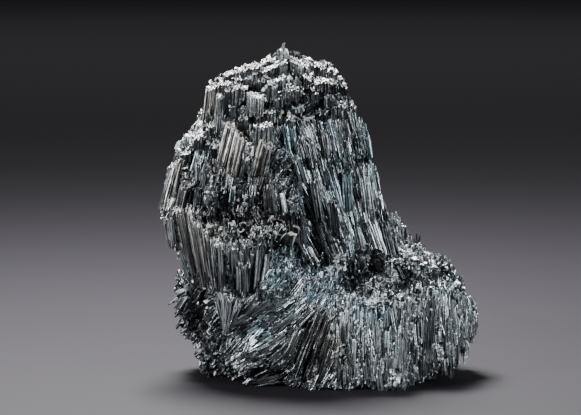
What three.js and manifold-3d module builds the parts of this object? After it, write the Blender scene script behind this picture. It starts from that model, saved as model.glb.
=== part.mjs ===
// A natural betekhtinite cluster: a sheaf of striated, metallic black crystal bundles, grown together
// into one mass. A tall tower fans down from its crown, a bulge spreads up from a narrow waist, and a
// broad foot of hanging bundles carries a terraced shelf on the right.
// Millimetres, +Z up, seen from -Y. The origin is on the resting plane, under the middle of the mass.
import * as THREE from "three";
import { mergeVertices } from "three/addons/utils/BufferGeometryUtils.js";
import Module from "manifold-3d";

const wasm = await Module();
wasm.setup();

// Driving dimensions of the whole cluster
const CROWN_HEIGHT = 54; // top of the tower, without its spike
const SPIKE_HEIGHT = 56.6; // the lone needle above the crown
const WAIST_HEIGHT = 16.5; // where the bulge pinches in above the foot
const PITCH = 5.2; // distance between neighbouring bundles
const SWELL = 0.66; // a bundle's corner radius as a share of the pitch, so that neighbours overlap
const SIDES = 5;

const UP = new THREE.Vector3(0, 1, 0);
const point = (x, y, z) => new THREE.Vector3(x, y, z);

// A repeatable source of numbers between low and high.
function dice(seed) {
  let state = seed;
  return (low, high) => {
    state = (state * 48271) % 2147483647;
    return low + ((high - low) * state) / 2147483647;
  };
}

// A closed three.js geometry as a solid.
function solid(geometry) {
  geometry.deleteAttribute("normal");
  geometry.deleteAttribute("uv");
  const merged = mergeVertices(geometry, 1e-4);
  return new wasm.Manifold(
    new wasm.Mesh({
      numProp: 3,
      vertProperties: merged.attributes.position.array,
      triVerts: new Uint32Array(merged.index.array),
    }),
  );
}

// One bundle of parallel crystals: a tapered prism with uneven flat sides and a slanted, broken end at "to".
function bundle(from, to, fromRadius, toRadius, roll, flat = 0.8) {
  const along = to.clone().sub(from);
  const length = along.length();
  const shape = new THREE.CylinderGeometry(toRadius, fromRadius, length, SIDES, 1);
  const uneven = Array.from({ length: SIDES }, () => roll(0.82, 1.16));
  const slantX = roll(-0.35, 0.35);
  const slantZ = roll(-0.15, 0.45);
  const places = shape.attributes.position;
  for (let i = 0; i < places.count; i++) {
    const corner = Math.round((Math.atan2(places.getX(i), places.getZ(i)) / (2 * Math.PI)) * SIDES);
    const stretch = uneven[(corner + SIDES) % SIDES];
    const x = places.getX(i) * stretch;
    const z = places.getZ(i) * stretch;
    const end = places.getY(i) > 0 ? -slantX * x - slantZ * z : 0;
    places.setXYZ(i, x, places.getY(i) + end, z);
  }
  shape.rotateY(Math.PI / SIDES + roll(-0.3, 0.3));
  shape.scale(1, 1, flat);
  shape.applyQuaternion(new THREE.Quaternion().setFromUnitVectors(UP, along.normalize()));
  const middle = from.clone().add(to).multiplyScalar(0.5);
  shape.translate(middle.x, middle.y, middle.z);
  return solid(shape);
}

// The places of bundles that stand side by side within an ellipse, in staggered rows.
function lattice(centre, halfWidth, halfDepth, pitch, roll) {
  const places = [];
  const rowGap = (pitch * Math.sqrt(3)) / 2;
  const rows = Math.ceil(halfDepth / rowGap);
  const columns = Math.ceil(halfWidth / pitch) + 1;
  for (let row = -rows; row <= rows; row++) {
    for (let column = -columns; column <= columns; column++) {
      const u = (column + (row % 2 ? 0.5 : 0)) * pitch + roll(-0.18, 0.18) * pitch;
      const v = row * rowGap + roll(-0.18, 0.18) * pitch;
      const share = Math.hypot(u / halfWidth, v / halfDepth);
      if (share <= 1) places.push({ x: centre.x + u, y: centre.y + v, share });
    }
  }
  return places;
}

// The point at height z on the line from a fan's root through the place (x, y, atHeight). A fan that opens
// differently in depth has a second root height for that, depthZ.
function onLine(root, x, y, atHeight, z) {
  const share = (rootZ) => (z - rootZ) / (atHeight - rootZ);
  return point(root.x + (x - root.x) * share(root.z), root.y + (y - root.y) * share(root.depthZ ?? root.z), z);
}

// An upright bundle on its line, thicker the further it is from the root of its fan.
function upright(root, place, atHeight, low, high, pitch, roll) {
  const thick = (z) => Math.max(0.35, Math.abs((z - root.z) / (atHeight - root.z))) * pitch * SWELL;
  const bottom = onLine(root, place.x, place.y, atHeight, low);
  const top = onLine(root, place.x, place.y, atHeight, high);
  return bundle(bottom, top, thick(low), thick(high), roll);
}

// How high the crystals of the tower stand at a share of its half width.
function towerHeight(share, drop, fall) {
  return CROWN_HEIGHT - drop * share ** fall;
}

// The left half of the tower leans towards a root high on the right, and climbs to the crown in short tiers.
// Its front bundles break off over the bulge, which leaves a dark pocket between the two.
function leftTower() {
  const roll = dice(11);
  const centre = point(-8.4, -0.6, 30);
  const root = point(10, 3, 175);
  return lattice(centre, 18.2, 12.6, PITCH * 0.92, roll)
    .filter((place) => place.x < -4.5 && place.x > -25)
    .map((place) => {
      const frontTier = 39.5 + Math.min(0, place.x + 14) * 0.9;
      const high = Math.max(towerHeight(place.share, 24, 3.6), frontTier) + roll(-3.4, 1);
      const overBulge = place.y < -5 || place.x < -20;
      const low = overBulge ? 28.5 : 25;
      return upright(root, place, centre.z, low, high, PITCH * 0.92, roll);
    });
}

// The right half leans the other way, in long plain faces that run down to the shelf and open upwards.
function rightTower() {
  const roll = dice(19);
  const centre = point(-5, -0.5, 32);
  const root = { x: 18, y: 0, z: -18, depthZ: 110 };
  return lattice(centre, 14.4, 11.4, PITCH * 1.05, roll)
    .filter((place) => place.x > -5)
    .map((place) => {
      const underCrown = 41 + (place.x + 5) * 1.4;
      const high = Math.min(towerHeight(place.share, 20, 5), underCrown) + roll(-2.6, 1);
      return upright(root, place, centre.z, 12, high, PITCH, roll);
    });
}

// The crown is a low dome of short crystals that end in small ledges.
function crown() {
  const roll = dice(29);
  const centre = point(-5.8, -0.3, 46);
  const root = point(-6, 0, -60);
  return lattice(centre, 11.6, 9, PITCH * 0.7, roll).map((place) => {
    const high = CROWN_HEIGHT + 0.6 - 7 * place.share ** 2 + roll(-2.4, 0.2);
    return upright(root, place, centre.z, 40, high, PITCH * 0.7, roll);
  });
}

// The bulge's ribs rise from a root under the waist and end in ledges, lower towards the viewer.
function bulge() {
  const roll = dice(23);
  const centre = point(-13.6, -2.6, 24);
  const root = point(-12.5, -1.5, -12);
  return lattice(centre, 10.6, 13.4, PITCH * 0.9, roll).map((place) => {
    const ledge = 27.4 + (place.y - centre.y) * 0.2 + roll(-3, 2);
    const high = place.x < -19 ? ledge + 2.5 : ledge;
    return upright(root, place, centre.z, WAIST_HEIGHT - 4, high, PITCH * 0.9, roll);
  });
}

// How high the shelf on the right stands at a place: terraces that climb to the back and fall to the right.
function shelfHeight(x, y) {
  const terraces = [
    [-13.5, 14],
    [-9, 16.5],
    [-3, 20],
    [20, 26.5],
  ];
  const terrace = terraces.find(([back]) => y < back)[1];
  const rightEdge = 25.6 - Math.max(0, x - 11) * 0.75 - Math.max(0, x - 20) * 0.7;
  return Math.min(terrace, rightEdge);
}

// The foot's bundles hang like a curtain under the shelf, and those on the right end short of the floor.
function curtain() {
  const roll = dice(37);
  const centre = point(9.2, -3, 10);
  const root = point(12, -6, 150);
  return lattice(centre, 16, 16.2, PITCH, roll).map((place) => {
    const lift = Math.max(0, place.x - 17) * 0.9;
    const low = Math.max(-1, lift + roll(-1, 1.2));
    const high = shelfHeight(place.x, place.y) + roll(-1.3, 0.7);
    return upright(root, place, centre.z, low, high, PITCH, roll);
  });
}

// Left of the curtain the hanging bundles swing to the left, over a low arch.
function swungBundles() {
  const roll = dice(43);
  const archHeights = [-1, -1, 2.2, 3.4, 3];
  const found = [];
  for (let step = 0; step < archHeights.length; step++) {
    const x = 1.5 - step * 2.6;
    const lean = 0.26 + step * 0.09;
    const low = archHeights[step] + roll(-0.5, 0.5);
    const high = 14.5 - step * 0.9;
    const foot = point(x - lean * (high - low), -16.4 + step * 0.5, low);
    found.push(bundle(point(x, -12.5, high), foot, 2.3, 2.8, roll));
    found.push(bundle(point(x + 1, -7, high + 2), point(foot.x + 1, -9, low), 2.6, 3.4, roll));
  }
  return found;
}

// The lower left is a stack of blades that slant down and outwards, and end in a toothed edge.
function leftFan() {
  const roll = dice(41);
  const axis = point(-8.5, -1, 0);
  const found = [];
  const tiers = [
    { height: 14.6, reach: 15.4 },
    { height: 10.2, reach: 15 },
    { height: 6, reach: 13.6 },
    { height: 1.4, reach: 11.6 },
  ];
  for (const { height, reach } of tiers) {
    for (let turn = -78; turn <= 78; turn += 26) {
      const around = THREE.MathUtils.degToRad(turn + roll(-8, 8));
      const far = reach + roll(-1.4, 1.2);
      const tip = point(
        axis.x - Math.cos(around) * far,
        axis.y + Math.sin(around) * far * 0.92,
        height + roll(-1.2, 1.2),
      );
      const aim = point(-0.7, Math.sin(around) * 0.4, -0.68 - roll(0, 0.14)).normalize();
      const length = turn < -60 ? 8 : 12.5;
      const start = tip.clone().addScaledVector(aim, -length);
      found.push(bundle(start, tip, 2.4, PITCH * 0.54, roll));
    }
  }
  return found;
}

// Two small fans on the front: a smooth one under the waist, and slanting bundles that run down to the left.
function frontFans() {
  const roll = dice(53);
  const found = [];
  const smoothRoot = point(-11.5, -7.5, 22);
  for (const across of [-4, -1.2, 1.6]) {
    const tip = point(smoothRoot.x - 1 + across, -16.6 + Math.abs(across) * 0.4, 9.4 + Math.abs(across) * 0.7);
    found.push(bundle(smoothRoot, tip, 1.9, 2.2, roll));
  }
  const slant = point(-0.83, -0.1, -0.54).normalize();
  for (let step = 0; step < 4; step++) {
    for (const shift of [0, 6]) {
      const high = point(2.5 - step * 0.9, -12.6 - step * 0.9, 17.6 - step * 3);
      const start = high.clone().addScaledVector(slant, shift - 2);
      const end = start.clone().addScaledVector(slant, 9 + roll(0, 3));
      found.push(bundle(start, end, 2, 2.1, roll));
    }
  }
  return found;
}

// Blocky lumps between the tower's foot and the shelf.
function middleLumps() {
  const roll = dice(67);
  const root = point(0, -4, 110);
  return lattice(point(0.5, -9.5, 18), 6, 4.6, PITCH * 0.85, roll).map((place) => {
    const high = 20.5 + (place.y + 9.5) * 1.1 + roll(-2.5, 2);
    return upright(root, place, 18, 8, high, PITCH * 0.85, roll);
  });
}

// The lone needle on the crown, with its two lower neighbours.
function spike() {
  const roll = dice(71);
  const foot = point(-6.6, -0.5, CROWN_HEIGHT - 7);
  return [
    bundle(foot, point(-6.2, -0.5, SPIKE_HEIGHT), 1.6, 0.45, roll),
    bundle(foot, point(-4.2, -0.2, CROWN_HEIGHT + 0.8), 1.8, 1, roll),
    bundle(foot, point(-8.6, -0.8, CROWN_HEIGHT + 0.2), 1.8, 1.1, roll),
  ];
}

// The massive heart of the cluster, which the bundles grow from and mostly hide.
function heart() {
  return [
    { at: point(-7.5, -0.3, 32), size: point(13.5, 10, 19) },
    { at: point(5, -2, 9), size: point(19, 14.5, 10.5) },
    { at: point(-12.5, -1.5, 22), size: point(10.5, 11.5, 10) },
    { at: point(-11, -1.5, 6), size: point(10, 11, 9) },
  ].map(({ at, size }) => {
    const lump = new THREE.SphereGeometry(1, 9, 6);
    lump.scale(size.x, size.z, size.y);
    lump.rotateX(Math.PI / 2);
    lump.translate(at.x, at.y, at.z);
    return solid(lump);
  });
}

// The mass stands on a flat break, so everything below the resting plane is cut away.
function belowRest() {
  const slab = new THREE.BoxGeometry(120, 120, 20);
  slab.translate(0, 0, -10);
  return solid(slab);
}

const grown = wasm.Manifold.union([
  ...heart(),
  ...leftTower(),
  ...rightTower(),
  ...crown(),
  ...bulge(),
  ...curtain(),
  ...swungBundles(),
  ...leftFan(),
  ...frontFans(),
  ...middleLumps(),
  ...spike(),
]).subtract(belowRest());

// The outer surface alone: pockets sealed inside the union are massive mineral in the real thing.
const skin = grown.decompose().sort((a, b) => b.volume() - a.volume())[0];

const mesh = skin.getMesh();
const geometry = new THREE.BufferGeometry();
geometry.setAttribute("position", new THREE.BufferAttribute(new Float32Array(mesh.vertProperties), 3));
geometry.setIndex(new THREE.BufferAttribute(mesh.triVerts, 1));

const metal = new THREE.MeshStandardMaterial({ color: 0x2b3033, roughness: 0.38, metalness: 0.9, flatShading: true });
const cluster = new THREE.Mesh(geometry, metal);
cluster.name = "betekhtinite_mass";

const group = new THREE.Group();
group.add(cluster);

export default group;
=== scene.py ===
"""A betekhtinite cluster: a sheaf of metallic fibres over a massive heart, on a plain studio floor."""

import math

import bpy
import numpy as np
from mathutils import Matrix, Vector, noise
from mathutils.bvhtree import BVHTree


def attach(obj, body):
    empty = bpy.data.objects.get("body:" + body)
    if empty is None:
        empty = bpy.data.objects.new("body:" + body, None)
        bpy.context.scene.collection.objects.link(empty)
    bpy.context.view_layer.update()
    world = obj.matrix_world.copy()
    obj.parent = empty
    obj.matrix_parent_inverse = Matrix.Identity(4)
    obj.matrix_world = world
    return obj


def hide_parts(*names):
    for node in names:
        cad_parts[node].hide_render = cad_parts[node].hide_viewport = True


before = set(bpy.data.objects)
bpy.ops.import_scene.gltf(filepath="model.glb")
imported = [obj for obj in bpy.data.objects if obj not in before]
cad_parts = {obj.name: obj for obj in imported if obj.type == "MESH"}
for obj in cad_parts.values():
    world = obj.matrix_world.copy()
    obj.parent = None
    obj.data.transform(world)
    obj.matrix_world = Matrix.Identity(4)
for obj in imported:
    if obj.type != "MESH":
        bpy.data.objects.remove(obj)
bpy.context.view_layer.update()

# The stage. A matt floor of plain paper runs far behind the specimen. A large soft box hangs over it, a
# little behind, a smaller one stands in front on each side, and a fourth lights the far floor alone. A
# long lens looks from a little above the specimen's middle.
MM = 0.001
WHOLE_SPECIMEN = Vector((-5.0, -2.0, 28.4)) * MM
CAMERA_ABOVE = math.radians(6)
LENS_AWAY = 0.4117
LENS = 150
SENSOR = 36
NEAREST_SEEN = 0.01
FLOOR_SIDE = 16
ROOM_LIGHT = 0.12

bpy.ops.object.select_all(action="DESELECT")
bpy.ops.mesh.primitive_plane_add(size=FLOOR_SIDE)
floor = bpy.context.object
floor.name = "floor"
paper = bpy.data.materials.new("pale_paper")
paper.use_nodes = True
sheen = paper.node_tree.nodes["Principled BSDF"].inputs
sheen["Base Color"].default_value = (0.0106, 0.0093, 0.0128, 1)
sheen["Roughness"].default_value = 0.8
sheen["Specular IOR Level"].default_value = 0.2
floor.data.materials.append(paper)


def hang_soft_box(name, place, aim, width, height, power, colour):
    """Hangs a soft box that faces its aim. Places and sizes are in millimetres, power in watts."""
    bpy.ops.object.light_add(type="AREA", location=Vector(place) * MM)
    box = bpy.context.object
    box.name = name
    box.data.shape = "RECTANGLE"
    box.data.size = width * MM
    box.data.size_y = height * MM
    box.data.energy = power
    box.data.color = colour
    box.rotation_euler = (Vector(aim) * MM - Vector(place) * MM).to_track_quat("-Z", "Y").to_euler()


hang_soft_box("overhead_box", (-40, 100, 250), (0, 0, 30), 110, 80, 6.1, (1, 0.99, 0.97))
hang_soft_box("front_left_box", (-290, -210, 140), (0, 0, 26), 80, 110, 1.65, (0.94, 0.97, 1))
hang_soft_box("right_box", (240, -240, 120), (6, 0, 16), 60, 90, 0.88, (0.9, 0.95, 1))
hang_soft_box("far_floor_box", (0, 2000, 1000), (0, 2200, 0), 2000, 1200, 12.0, (0.98, 0.96, 1))

room = bpy.data.worlds.new("studio_room")
room.use_nodes = True
room.node_tree.nodes["Background"].inputs["Color"].default_value = (0.72, 0.74, 0.78, 1)
room.node_tree.nodes["Background"].inputs["Strength"].default_value = ROOM_LIGHT
bpy.context.scene.world = room

lens_place = WHOLE_SPECIMEN + Vector((0, -math.cos(CAMERA_ABOVE), math.sin(CAMERA_ABOVE))) * LENS_AWAY
bpy.ops.object.camera_add(location=lens_place, rotation=(math.pi / 2 - CAMERA_ABOVE, 0, 0))
bpy.context.object.data.lens = LENS
bpy.context.object.data.sensor_width = SENSOR
bpy.context.object.data.clip_start = NEAREST_SEEN
bpy.context.scene.camera = bpy.context.object


# The sulphide itself. Betekhtinite is an opaque copper-lead sulphide with a dark metallic lustre. Fine
# grooves run along every crystal, darkened with painted shade. Its broken ends carry a painted highlight,
# painted weaker towards the back, and its crumbled pits are painted near-black as shade. A thin tarnish
# tints it teal or tan in patches.
DARK_STEEL = (0.03, 0.032, 0.035, 1)
PALE_STEEL = (0.83, 0.88, 0.9, 1)
TEAL_FILM = (0.74, 0.95, 1.0, 1)
TAN_FILM = (1.0, 0.82, 0.68, 1)
GROOVE_SHADE = (0.03, 0.033, 0.036, 1)
BROKEN_END_HIGHLIGHT = (0.97, 0.98, 0.98, 1)
PIT_SHADE = (0.02, 0.022, 0.025, 1)
BACK_HIGHLIGHT_DEPTH = 0.008
BACK_HIGHLIGHT_CUT = 0.75
GROOVE_DEPTH = 0.00014


class Wire:
    """A shader socket that adds Math nodes when it is used in a sum."""

    def __init__(self, sheet, socket):
        self.sheet = sheet
        self.socket = socket

    def _maths(self, operation, first, second):
        made = self.sheet.node("ShaderNodeMath", {"operation": operation}, {0: first, 1: second})
        return made["Value"]

    def __add__(self, other):
        return self._maths("ADD", self, other)

    def __radd__(self, other):
        return self._maths("ADD", other, self)

    def __sub__(self, other):
        return self._maths("SUBTRACT", self, other)

    def __rsub__(self, other):
        return self._maths("SUBTRACT", other, self)

    def __mul__(self, other):
        return self._maths("MULTIPLY", self, other)

    def __rmul__(self, other):
        return self._maths("MULTIPLY", other, self)


class Lustre:
    """The node sheet of one finish."""

    def __init__(self, name):
        self.material = bpy.data.materials.new(name)
        self.material.use_nodes = True
        self.tree = self.material.node_tree
        self.shader = self.tree.nodes["Principled BSDF"]

    def node(self, kind, settings=None, values=None):
        made = self.tree.nodes.new(kind)
        for key, value in (settings or {}).items():
            setattr(made, key, value)
        for key, value in (values or {}).items():
            self.feed(made.inputs[key], value)
        return {out.name: Wire(self, out) for out in made.outputs if out.enabled}

    def feed(self, socket, value):
        if isinstance(value, Wire):
            self.tree.links.new(value.socket, socket)
        else:
            socket.default_value = value

    def blend(self, share, first, second, how="MIX"):
        settings = {"data_type": "RGBA", "blend_type": how}
        return self.node("ShaderNodeMix", settings, {"Factor": share, 6: first, 7: second})["Result"]

    def stain(self, share, colour, stained):
        return self.blend(share, stained, colour, "MULTIPLY")

    def clamp(self, value, low, high):
        values = {"Value": value, "From Min": low, "From Max": high, "To Min": 0.0, "To Max": 1.0}
        return self.node("ShaderNodeMapRange", {"clamp": True}, values)["Result"]

    def noise(self, vector, scale, detail):
        values = {"Vector": vector, "Scale": scale, "Detail": detail}
        return self.node("ShaderNodeTexNoise", {}, values)["Fac"]

    def read(self, name):
        return self.node("ShaderNodeAttribute", {"attribute_name": name})["Fac"]


def crystal_lustre():
    """Dark metal with grooves in painted shade, a painted highlight on broken ends, pits in painted shade,
    tarnish.
    """
    finish = Lustre("betekhtinite_fibres")
    tone = finish.read("tone")
    teal = finish.read("teal")
    warm = finish.read("warm")
    tip_highlight = finish.read("tip_highlight")
    coarse = finish.read("coarse")
    grain = finish.node("ShaderNodeUVMap", {"uv_map": "grain"})["UV"]
    grooves = finish.noise(grain, 4.0, 3.0)
    place = finish.node("ShaderNodeTexCoord")["Object"]
    cloud = finish.noise(place, 260.0, 3.0)
    speck = finish.noise(place, 2600.0, 3.0)
    crumble = finish.noise(place, 1100.0, 4.0)

    # The painted highlight on the broken ends fades out towards the back of the specimen.
    depth = finish.node("ShaderNodeSeparateXYZ", {}, {"Vector": place})["Y"]
    behind = finish.clamp(depth, 0.0, BACK_HIGHLIGHT_DEPTH)
    tip_highlight = tip_highlight * (1 - behind * BACK_HIGHLIGHT_CUT)

    steel = finish.blend(tone + (cloud - 0.5) * 0.8, DARK_STEEL, PALE_STEEL)
    tarnish = finish.clamp(cloud * 0.6 + teal, 0.45, 1.0)
    cooled = finish.stain(tarnish, TEAL_FILM, steel)
    warmed = finish.stain(warm, TAN_FILM, cooled)
    # Grooves are painted dark along each crystal, less on the broken ends: painted shade in the grooves.
    groove_shade_share = (1 - finish.clamp(grooves, 0.4, 0.54)) * (1 - tip_highlight * 0.8)
    groove_shaded = finish.blend(groove_shade_share, warmed, GROOVE_SHADE)
    # Broken ends are painted near-white in specks: a painted highlight.
    tip_highlighted = finish.blend(tip_highlight * finish.clamp(speck, 0.35, 0.55), groove_shaded, BROKEN_END_HIGHLIGHT)
    # Crumbled pits are painted near-black: painted shade in the pits.
    pits = coarse * (1 - finish.clamp(crumble, 0.34, 0.48))
    pitted = finish.blend(pits, tip_highlighted, PIT_SHADE)
    finish.feed(finish.shader.inputs["Base Color"], pitted)
    finish.feed(finish.shader.inputs["Roughness"], 0.14 + grooves * 0.22 + tip_highlight * 0.2 + coarse * 0.12)
    finish.feed(finish.shader.inputs["Metallic"], 0.86 - tip_highlight * 0.5)
    height = grooves + speck * 0.2 + crumble * (0.2 + 1.2 * coarse)
    bump = finish.node("ShaderNodeBump", {}, {"Strength": 1.0, "Distance": GROOVE_DEPTH, "Height": height})
    finish.feed(finish.shader.inputs["Normal"], bump["Normal"])
    return finish.material


fibre_finish = crystal_lustre()

# The heart. Under the fibres the sulphide is massive: it carries every crystal and shows only in the dark
# gaps between them. It follows the specimen's main shape, closed over its cracks and rounded.
HEART_VOXEL = 0.36
CLOSING_VOXEL = 0.5
CLOSED_CRACK = 0.7

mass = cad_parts["betekhtinite_mass"]
heart = bpy.data.objects.new("massive_heart", mass.data.copy())
bpy.context.collection.objects.link(heart)
bpy.ops.object.select_all(action="DESELECT")
heart.select_set(True)
bpy.context.view_layer.objects.active = heart
bpy.ops.object.mode_set(mode="EDIT")
bpy.ops.mesh.select_all(action="SELECT")
bpy.ops.mesh.remove_doubles(threshold=1e-6)
bpy.ops.object.mode_set(mode="OBJECT")


def reshape(name, kind, **settings):
    change = heart.modifiers.new(name, kind)
    for key, value in settings.items():
        setattr(change, key, value)
    bpy.ops.object.modifier_apply(modifier=name)


reshape("solid", "REMESH", mode="VOXEL", voxel_size=CLOSING_VOXEL * MM)
reshape("swell", "DISPLACE", strength=CLOSED_CRACK * MM, mid_level=0)
reshape("closed", "REMESH", mode="VOXEL", voxel_size=CLOSING_VOXEL * MM)
reshape("shrink", "DISPLACE", strength=-CLOSED_CRACK * MM, mid_level=0)
reshape("round", "SMOOTH", factor=0.6, iterations=6)
reshape("fine", "REMESH", mode="VOXEL", voxel_size=HEART_VOXEL * MM)
reshape("soften", "SMOOTH", factor=0.5, iterations=4)


def read(items, name, width=1, kind=np.float32):
    found = np.empty(len(items) * width, kind)
    items.foreach_get(name, found)
    return found.reshape(-1, width) if width > 1 else found


def unit(vectors):
    return vectors / np.maximum(np.linalg.norm(vectors, axis=-1, keepdims=True), 1e-12)


def rooted_fan(root, depth_root=None):
    """The upward direction of crystals that fan out from a root, in millimetres.

    depth_root is the root's height for the fan's depth, where that opens differently."""
    x, y, z = root

    def direction(places):
        slope_x = (places[:, 0] - x) / (places[:, 2] - z)
        slope_y = (places[:, 1] - y) / (places[:, 2] - (z if depth_root is None else depth_root))
        return unit(np.stack([slope_x, slope_y, np.ones(len(places))], 1))

    return direction


# The outline that the crystals reach: EDGES are heights with their left and right edges, TOPS are places
# across with their heights, and UNDERSIDE rises at the right in the same way. HOLLOWS are pockets in the
# front: across, height, half their width and height, and depth. The heart stays a CRUST inside and moves
# no further than its REACH. All are in millimetres.
EDGES = np.array(
    (
        (2, -20.6, 23.4), (6, -23.4, 26.6), (10, -24.4, 27.4), (14, -25.4, 25.8), (18, -24, 23.2),
        (21, -24.8, 20.2), (26, -27, 13.4), (30, -26.7, 10.4), (35, -25.8, 9.7), (39.5, -24, 9),
        (42, -21.6, 7.6), (44.5, -20, 7), (48, -19.3, 5),
    )
)
TOPS = np.array(
    (
        (-19, 48), (-16.2, 50.6), (-11.6, 52), (-8, 53.6), (-6.2, 55.6), (-4, 53.6), (0, 52.8), (2, 52),
        (3.6, 50.4), (5, 48.4), (7, 44),
    )
)
CRUST = 0.25
LEFT_REACH = (-2.6, 1.6)
RIGHT_REACH = (-1.6, 2.2)
TOP_REACH = (-2.5, 1.5)
UNDERSIDE = np.array(((18.5, 0), (23.3, 1.8), (26.7, 6)))
HOLLOWS = (
    (-12.5, 27.6, 6.5, 3.2, 2), (6.8, 19, 2.4, 2, 2), (-8, 45.5, 2.4, 1.6, 1.6), (0.5, 44.5, 2, 1.6, 0.5),
    (-15.5, 46, 1.4, 1.4, 1.2), (-20, 6.5, 3, 2.4, 1), (-4.5, 47.6, 1.4, 1.2, 1.3),
    (-8.8, 0.6, 4.6, 2.8, 3), (7.4, 0, 2, 1.4, 2),
)

heart_places = read(heart.data.vertices, "co", 3) / MM
heart_normals = read(heart.data.vertices, "normal", 3)
x, y, z = heart_places.T.copy()
levels = np.arange(2, 48.5, 1)
near_level = [heart_places[np.abs(z - level) < 1.2, 0] for level in levels]
found_left = np.array([found.min() for found in near_level])
found_right = np.array([found.max() for found in near_level])
left_gap = np.clip(np.interp(levels, EDGES[:, 0], EDGES[:, 1]) + CRUST - found_left, *LEFT_REACH)
right_gap = np.clip(np.interp(levels, EDGES[:, 0], EDGES[:, 2]) - CRUST - found_right, *RIGHT_REACH)
middle = (found_left + found_right) / 2
half = (found_right - found_left) / 2
across = np.clip((x - np.interp(z, levels, middle)) / np.interp(z, levels, half), -1, 1)
shift = np.where(across < 0, np.interp(z, levels, left_gap), np.interp(z, levels, right_gap))
heart_places[:, 0] += shift * across**2
steps = np.arange(-19, 7.5, 0.5)
found_top = np.array([z[np.abs(x - step) < 0.8].max() for step in steps])
top_gap = np.clip(np.interp(steps, TOPS[:, 0], TOPS[:, 1]) - CRUST - found_top, *TOP_REACH)
heart_places[:, 2] += np.interp(x, steps, top_gap) * np.clip((z - 42) / 8, 0, 1)
for hollow_x, hollow_z, wide, high, deep in HOLLOWS:
    gap = ((x - hollow_x) / wide) ** 2 + ((z - hollow_z) / high) ** 2
    heart_places[:, 1] += deep * np.exp(-gap * gap) * (heart_normals[:, 1] < 0.2)
heart_places[:, 2] = np.maximum(heart_places[:, 2], np.interp(heart_places[:, 0], *UNDERSIDE.T))
heart.data.vertices.foreach_set("co", (heart_places * MM).astype(np.float32).ravel())
heart.data.update()
heart_normals = read(heart.data.vertices, "normal", 3)
heart.data.calc_loop_triangles()
heart_corners = read(heart.data.loop_triangles, "vertices", 3, np.int32)
heart_tree = BVHTree.FromPolygons(heart_places.tolist(), heart_corners.tolist())

# How the crystals run. The cluster is several sheaves that grew against each other, each with its own
# direction: a left tower and a right one under a shared crown, a bulge over a waist, and a foot whose
# bundles lean as they hang.
CROWN, RIGHT, LEFT, BULGE, SLANT, BLADES, TERRACE, CURTAIN, REST = range(9)
FOOT_TOP = 15.5
BULGE_TOP = 28.3


def zone_of(places, normals):
    """The sheaf that each place on the heart belongs to."""
    x, y, z = places.T
    seam = x > -6.5 - 0.45 * (z - 32)
    choices = (
        (z < 0.5, REST),
        (z > 43.5 + np.clip(x + 2, 0, 6) * 0.25, CROWN),
        ((z > 22) & seam & (np.hypot(x - 2, y) < 15) & (x < 16.5), RIGHT),
        ((z > BULGE_TOP) & ~seam, LEFT),
        ((z > FOOT_TOP - np.clip(-y - 6, 0, 8) * 0.1) & (z <= BULGE_TOP) & (x < -3.4), BULGE),
        ((x > -14) & (x < 2) & (y < -10) & (z < 17.5), SLANT),
        ((z <= FOOT_TOP) & (x < -7.5), BLADES),
        ((z > 11.5) & ((normals[:, 2] > 0.4) | (z > 16)), TERRACE),
    )
    return np.select([test for test, _ in choices], [zone for _, zone in choices], CURTAIN)


def blade_way(places):
    """Blades of the lower left slant down and outwards, round the corner of the foot."""
    turn = np.arctan2(places[:, 1] + 1, -(places[:, 0] + 8.5))
    return unit(np.stack([np.full(len(places), 0.7), -0.4 * np.sin(turn), np.full(len(places), 0.75)], 1))


def slant_way(places):
    """Bundles under the waist lie over to the right, and stand up as they near the foot's middle."""
    lift = np.clip((places[:, 2] - 2) / 8, 0, 1)
    steep = np.clip((places[:, 0] + 6) / 8, 0, 1)
    x = 0.83 - 0.5 * steep - 0.1 * (1 - lift)
    z = 0.54 + 0.4 * steep
    return unit(np.stack([x, np.full(len(places), 0.1), z], 1))


def hanging_way(places):
    """Bundles of the foot hang nearly straight, and lean in from its ends."""
    swing = np.clip((2 - places[:, 0]) / 8, 0, 1) * 0.3 - np.clip((places[:, 0] - 14) / 12, 0, 1) * 0.06
    return unit(np.stack([swing, np.full(len(places), 0.02), np.ones(len(places))], 1))


WAYS = {
    CROWN: rooted_fan((-6, 0, -60)),
    RIGHT: rooted_fan((18, 0, -18), 110),
    LEFT: rooted_fan((10, 3, 175)),
    BULGE: rooted_fan((-12.5, -1.5, -12)),
    SLANT: slant_way,
    BLADES: blade_way,
    TERRACE: hanging_way,
    CURTAIN: hanging_way,
    REST: hanging_way,
}

# Where the sulphide is tarnished teal or tan, where it is painted paler, and where painted shade darkens
# it in pockets, gaps and under the low arch: across, height and reach on the front.
TEAL_PATCHES = (
    (-4.6, 39, 2.2), (-1.5, 33, 2.6), (4, 30, 3.4), (7, 24, 3.6), (9, 35, 3), (-6, 20, 4), (-10.5, 10, 3),
    (-18, 31, 1.6), (22, 14, 3), (1, 17, 4), (8, 11, 4),
)
WARM_PATCHES = ((-18, 45, 2.6), (-25, 30, 3), (-20, 22, 5), (-11, 27, 4), (-1, 4, 2.6), (2, 6, 3))
PALE_PATCHES = (
    (-19.3, 45.5, 1.8), (-25.5, 29, 2), (-20.5, 22, 3.4), (-25, 23, 2), (-8, 18, 2.4), (-4, 17, 3),
    (1, 16, 3), (-5, 29.5, 1.6), (-3.8, 40, 1.6), (6, 26, 3), (9, 30, 2.4), (-9.4, 8, 2), (8, 10, 2.4),
    (19, 5, 3), (12, 4, 3), (24, 10, 3), (16, 8, 3),
)
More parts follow.
